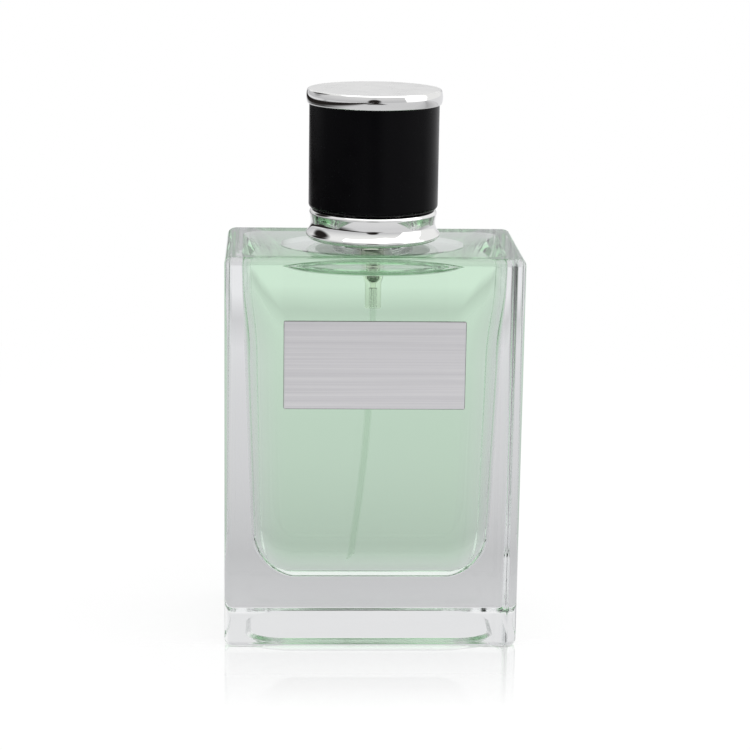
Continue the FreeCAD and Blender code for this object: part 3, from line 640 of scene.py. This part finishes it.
def make_collar():
    """Hollow wall that flares to a rolled foot, a rounded lip and the upstand that the cap grips."""
    bm = bmesh.new()
    end = corner(bm, COLLAR_INNER, COLLAR_FOOT)
    end = line_to(bm, end, COLLAR_FOOT_RADIUS, COLLAR_FOOT)
    for r, z, curve, steps in COLLAR_ARCS:
        end = arc_to(bm, end, r, z, curve, steps)
    inner = UPSTAND_RADIUS - COLLAR_WALL
    lines_to(bm, end, (
        (12.75, 94.0), (SEAT_RADIUS, SEAT_HEIGHT), (UPSTAND_RADIUS, SEAT_HEIGHT), (UPSTAND_RADIUS, UPSTAND_TOP),
        (UPSTAND_BORE, UPSTAND_TOP), (UPSTAND_BORE, UPSTAND_TOP - COLLAR_WALL), (inner, UPSTAND_TOP - COLLAR_WALL),
        (inner, SEAT_HEIGHT - COLLAR_WALL), (COLLAR_INNER, SEAT_HEIGHT - COLLAR_WALL), (COLLAR_INNER, COLLAR_FOOT)))
    turn_round(bm)
    soften_rings(bm, [(UPSTAND_RADIUS, UPSTAND_TOP, 0.3, 4), (UPSTAND_BORE, UPSTAND_TOP, 0.15, 2),
                      (UPSTAND_RADIUS, SEAT_HEIGHT, 0.25, 3)])
    piece("collar_shroud", bm, POLISHED, "bottle", ["collar"])


def make_cap_sleeve():
    bm = bmesh.new()
    lines_to(bm, corner(bm, SLEEVE_INNER, CAP_FOOT), (
        (SLEEVE_RADIUS, CAP_FOOT), (SLEEVE_RADIUS, WEB_TOP), (SPIGOT_RADIUS, WEB_TOP),
        (SPIGOT_RADIUS, LINER_TOP), (SLEEVE_INNER, LINER_TOP), (SLEEVE_INNER, CAP_FOOT)))
    turn_round(bm)
    soften_rings(bm, [(SLEEVE_RADIUS, CAP_FOOT, 1.0, 8), (SLEEVE_INNER, CAP_FOOT, 0.3, 3),
                      (SLEEVE_RADIUS, WEB_TOP, 0.25, 3)])
    piece("cap_tube", bm, BLACK_CAP, "cap", ["cap_sleeve"])


def make_cap_disc():
    """Disc with a flat top, a slightly bulged rim and rounded edges."""
    flat, rim = DISC_RADIUS - DISC_EDGE_WIDTH, DISC_RADIUS - DISC_RIM_BULGE
    bm = bmesh.new()
    end = lines_to(bm, corner(bm, 0.0, LINER_TOP), (
        (SPIGOT_RADIUS, LINER_TOP), (SPIGOT_RADIUS, WEB_TOP), (flat, WEB_TOP)))
    end = arc_to(bm, end, rim, WEB_TOP + DISC_EDGE_HEIGHT, DISC_EDGE_ROUND, 8)
    end = arc_to(bm, end, rim, DISC_TOP - DISC_EDGE_HEIGHT, DISC_RIM_ROUND, 10)
    end = arc_to(bm, end, flat, DISC_TOP, DISC_EDGE_ROUND, 8)
    lines_to(bm, end, ((flat - DISC_TOP_BORDER, DISC_TOP), (0.0, DISC_TOP)))
    turn_round(bm)
    piece("cap_disc", bm, disc_metal(), "cap", ["cap_top_disc"])


def make_spring():
    """Copy of the wound spring with a mesh of its own."""
    bm = bmesh.new()
    bm.from_mesh(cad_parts["pump_spring"].data)
    bmesh.ops.scale(bm, vec=(1 / MM, 1 / MM, 1 / MM), verts=bm.verts)
    spring = piece("return_spring", bm, STEEL, "bottle", ["pump_spring"])
    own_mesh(spring)


make_glass()
make_liquid()
make_label()
make_collar()
make_cap_sleeve()
make_cap_disc()
make_spring()

# Parts kept as solids
SOLID_FINISHES = {
    "neck_gasket": GASKET,
    "stem_gasket": GASKET,
    "crimp_ferrule": FERRULE_METAL,
    "pump_housing": HOUSING_PLASTIC,
    "dip_tube": TUBE_PLASTIC,
    "housing_closure": WHITE_PLASTIC,
    "collar_grip_ring": WHITE_PLASTIC,
    "inlet_ball": BALL_STEEL,
    "piston": WHITE_PLASTIC,
    "pump_stem": WHITE_PLASTIC,
    "actuator_button": WHITE_PLASTIC,
    "actuator_sleeve": HEAD_METAL,
    "nozzle_insert": WHITE_PLASTIC,
    "cap_liner": BLACK_LINER,
}
for name, material in SOLID_FINISHES.items():
    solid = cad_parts[name]
    solid.data.materials.clear()
    solid.data.materials.append(material)


# Studio, in metres

CAMERA_YAW, CAMERA_PITCH, CAMERA_LEAN = (math.radians(angle) for angle in (2.553, 13.446, 0.844))
CAMERA_PLACE = (-0.021280, -0.498841, 0.175986)
FOCAL_PIXELS, PHOTO_PIXELS, SENSOR_WIDTH = 2314.788, 750.0, 36.0

WHITE = (1.0, 1.0, 1.0)
DARK_ROOM = (0.02, 0.017, 0.016)
SEEN_THROUGH_GLASS = 0.6  # share of the dark areas that shows through glass

FLOOR_GAP = -0.0001
# Painted shadow: grey of the floor right under the bottle, as glass sees it.
UNDER_BOTTLE_SHADE = (0.3, 0.33, 0.31)
# Grey of the floor as glass and metal see it, by the distance behind the bottle; the dips are painted shade: the
# bottle's shadow and falling light close behind it, and a shadow band at the far table edge.
FLOOR_SHADE_LEVELS = ((-0.5, 0.72), (-0.1, 0.7), (0.01, 0.6), (0.06, 0.44), (0.14, 0.56), (0.29, 0.73), (0.335, 0.62),
                (0.38, 0.83), (0.5, 0.83))
FLOOR_REACH = 0.5
# Where the areas of the floor fade out, or in for the far end of the dark area on the left.
STAND_DEPTH, STAND_HALF_WIDTH = (-0.75, -0.5), (0.16, 0.26)
LEFT_DARK, LEFT_DARK_END = (-0.36, -0.16), (-0.95, -0.8)
UNDER_SHADE_HALF_WIDTH, UNDER_SHADE_HALF_DEPTH = (0.026, 0.033), (0.014, 0.021)
MIRROR_FRONT, MIRROR_BACK, MIRROR_HALF_WIDTH = (-0.056, -0.019), (-0.019, -0.015), (0.036, 0.06)
PAPER_NEAR, PAPER_FAR = 0.1, 0.3


def make_camera():
    """Camera of the photograph: height, turn, tilt and a slight lean."""
    ahead = Vector((math.sin(CAMERA_YAW) * math.cos(CAMERA_PITCH),
                    math.cos(CAMERA_YAW) * math.cos(CAMERA_PITCH), -math.sin(CAMERA_PITCH)))
    level = Vector((math.cos(CAMERA_YAW), -math.sin(CAMERA_YAW), 0.0))
    over = level.cross(ahead)
    right = math.cos(CAMERA_LEAN) * level + math.sin(CAMERA_LEAN) * over
    up = -math.sin(CAMERA_LEAN) * level + math.cos(CAMERA_LEAN) * over
    data = bpy.data.cameras.new("camera")
    data.sensor_fit = "HORIZONTAL"
    data.sensor_width = SENSOR_WIDTH
    data.lens = FOCAL_PIXELS / PHOTO_PIXELS * SENSOR_WIDTH
    data.clip_start = 0.01
    data.clip_end = 20.0
    camera = bpy.data.objects.new("camera", data)
    bpy.context.scene.collection.objects.link(camera)
    place = Matrix((right, up, -ahead)).transposed().to_4x4()
    place.translation = Vector(CAMERA_PLACE)
    camera.matrix_world = place
    bpy.context.scene.camera = camera


def floor_room(finish, where, aside, path):
    """Colour of the floor as glass and metal see it, with painted shadow under and behind the bottle and at the far
    table edge.
    """
    # The grey by distance holds painted shade: the bottle's shadow close behind it and a shadow band at the far
    # table edge.
    depth = finish.node("ShaderNodeValToRGB")
    stops = depth.color_ramp.elements
    for number, (metres, level) in enumerate(FLOOR_SHADE_LEVELS):
        stop = stops[number] if number < 2 else stops.new(1.0)
        stop.position = metres + FLOOR_REACH
        stop.color = (level, level, 1.02 * level, 1.0)
    finish.link(finish.span(where["Y"], 0.0, 1.0, -FLOOR_REACH, FLOOR_REACH), depth.inputs["Fac"])
    stand = finish.product(finish.fall(where["Y"], *STAND_DEPTH), finish.fall(aside, *STAND_HALF_WIDTH))
    left = finish.product(finish.fall(where["X"], *LEFT_DARK), finish.rise(where["X"], *LEFT_DARK_END))
    gloom = finish.product(finish.maths("MAXIMUM", stand, left),
                           finish.span(path["Is Transmission Ray"], 1.0, SEEN_THROUGH_GLASS, 0.0, 1.0))
    room = finish.blend(gloom, depth.outputs["Color"], DARK_ROOM)
    # Painted shadow: the floor right under the bottle turns darker.
    under = finish.product(finish.fall(aside, *UNDER_SHADE_HALF_WIDTH),
                           finish.fall(finish.maths("ABSOLUTE", where["Y"]), *UNDER_SHADE_HALF_DEPTH))
    return finish.blend(under, room, UNDER_BOTTLE_SHADE)


def floor_finish():
    """White to the camera, pale grey to glass and metal, with a mirror sheen in front of the bottle."""
    finish = Finish("pale_floor")
    finish.tree.nodes.remove(finish.shader)
    path = finish.node("ShaderNodeLightPath").outputs
    place = finish.place()
    where = finish.split(place)
    aside = finish.maths("ABSOLUTE", where["X"])

    paper = finish.node("ShaderNodeBsdfDiffuse")
    finish.link(finish.blend(finish.noise(6.0), (0.86, 0.86, 0.86), (0.88, 0.88, 0.88)), paper.inputs["Color"])
    glow = finish.node("ShaderNodeEmission")
    finish.link(finish.blend(path["Is Camera Ray"], floor_room(finish, where, aside, path), WHITE),
                glow.inputs["Color"])
    far = finish.node("ShaderNodeVectorMath", operation="LENGTH")
    finish.link(place, far.inputs[0])
    lit = finish.span(far.outputs["Value"], 0.86, 1.0, PAPER_NEAR, PAPER_FAR, "SMOOTHSTEP")
    through = finish.maths("MAXIMUM", path["Is Glossy Ray"], path["Is Transmission Ray"])
    seen = finish.maths("MAXIMUM", path["Is Camera Ray"], through)
    base = finish.mix_shaders(finish.product(seen, lit), paper, glow)

    mirror = finish.node("ShaderNodeBsdfGlossy")
    mirror.inputs["Color"].default_value = (*WHITE, 1.0)
    mirror.inputs["Roughness"].default_value = 0.02
    sheen = finish.product(finish.span(where["Y"], 0.0, 0.5, *MIRROR_FRONT),
                           finish.span(where["Y"], 1.0, 0.0, *MIRROR_BACK),
                           finish.fall(aside, *MIRROR_HALF_WIDTH))
    finish.surface(finish.mix_shaders(finish.product(path["Is Camera Ray"], sheen), base, mirror))
    return finish.material


def make_floor():
    bm = bmesh.new()
    bmesh.ops.create_grid(bm, x_segments=1, y_segments=1, size=4.0)
    bmesh.ops.translate(bm, vec=(0.0, 0.0, FLOOR_GAP), verts=bm.verts)
    mesh = bpy.data.meshes.new("floor")
    bm.to_mesh(mesh)
    bm.free()
    floor = bpy.data.objects.new("floor", mesh)
    bpy.context.scene.collection.objects.link(floor)
    mesh.materials.append(floor_finish())


def make_world():
    """White behind the bottle; elsewhere a pale grey room, bright above and to the right, with two dark areas."""
    world = bpy.data.worlds.new("studio")
    bpy.context.scene.world = world
    world.use_nodes = True
    world.node_tree.nodes.clear()
    sky = Nodes(world.node_tree)
    path = sky.node("ShaderNodeLightPath").outputs
    direction = sky.node("ShaderNodeTexCoord").outputs["Generated"]
    where = sky.split(direction)

    def around(towards, inner, outer):
        """1 within an angle of one direction, fading to 0 at a wider one."""
        along = sky.node("ShaderNodeVectorMath", operation="DOT_PRODUCT")
        sky.link(direction, along.inputs[0])
        along.inputs[1].default_value = Vector(towards).normalized()
        return sky.rise(along.outputs["Value"], math.cos(math.radians(outer)), math.cos(math.radians(inner)))

    ramp = sky.node("ShaderNodeValToRGB")
    stops = ramp.color_ramp.elements
    stops[0].position, stops[0].color = 0.5, (0.58, 0.58, 0.595, 1.0)
    stops[1].position, stops[1].color = 0.92, (0.94, 0.94, 0.94, 1.0)
    sky.link(sky.rise(where["Z"], -1.0, 1.0), ramp.inputs["Fac"])
    faint = sky.span(path["Is Transmission Ray"], 1.0, SEEN_THROUGH_GLASS, 0.0, 1.0)
    colour = ramp.outputs["Color"]
    colour = sky.blend(sky.product(around((-0.04, -0.97, 0.05), 8.0, 13.0), faint), colour, DARK_ROOM)
    colour = sky.blend(sky.product(around((-0.8, 0.43, 0.42), 12.0, 24.0), faint), colour, DARK_ROOM)
    colour = sky.blend(around((0.88, 0.47, 0.12), 20.0, 50.0), colour, (0.95, 0.95, 0.95))
    room = sky.node("ShaderNodeBackground")
    sky.link(colour, room.inputs["Color"])

    white = sky.node("ShaderNodeBackground")
    white.inputs["Color"].default_value = (*WHITE, 1.0)
    sheet = sky.product(sky.rise(where["Y"], 0.8, 0.9), sky.rise(where["Z"], 0.24, 0.3))
    behind = sky.product(sheet, sky.maths("SUBTRACT", path["Is Glossy Ray"], path["Is Transmission Ray"]))
    both = sky.mix_shaders(sky.maths("MAXIMUM", path["Is Camera Ray"], behind), room, white)
    sky.link(both.outputs[0], sky.node("ShaderNodeOutputWorld").inputs["Surface"])


def make_lamp(name, place, aim, width, power):
    """Square softbox that lights the bottle but doesn't show through the glass."""
    data = bpy.data.lights.new(name, "AREA")
    data.shape = "RECTANGLE"
    data.size = width
    data.size_y = width
    data.energy = power
    lamp = bpy.data.objects.new(name, data)
    bpy.context.scene.collection.objects.link(lamp)
    lamp.location = place
    lamp.visible_transmission = False
    lamp.rotation_mode = "QUATERNION"
    lamp.rotation_quaternion = (Vector(aim) - Vector(place)).to_track_quat("-Z", "Y")


make_camera()
make_floor()
make_world()
make_lamp("top_softbox", (0.1, -0.05, 0.9), (0.0, 0.0, 0.05), 1.2, 5.5)
make_lamp("right_softbox", (0.85, -0.25, 0.45), (0.0, 0.0, 0.06), 0.8, 1.7)
bpy.context.scene.view_settings.view_transform = "Standard"
# Light turns back inside thick glass more often than the usual limits allow.
light_paths = bpy.context.scene.cycles
light_paths.max_bounces = 24
light_paths.glossy_bounces = 6
light_paths.transmission_bounces = 24
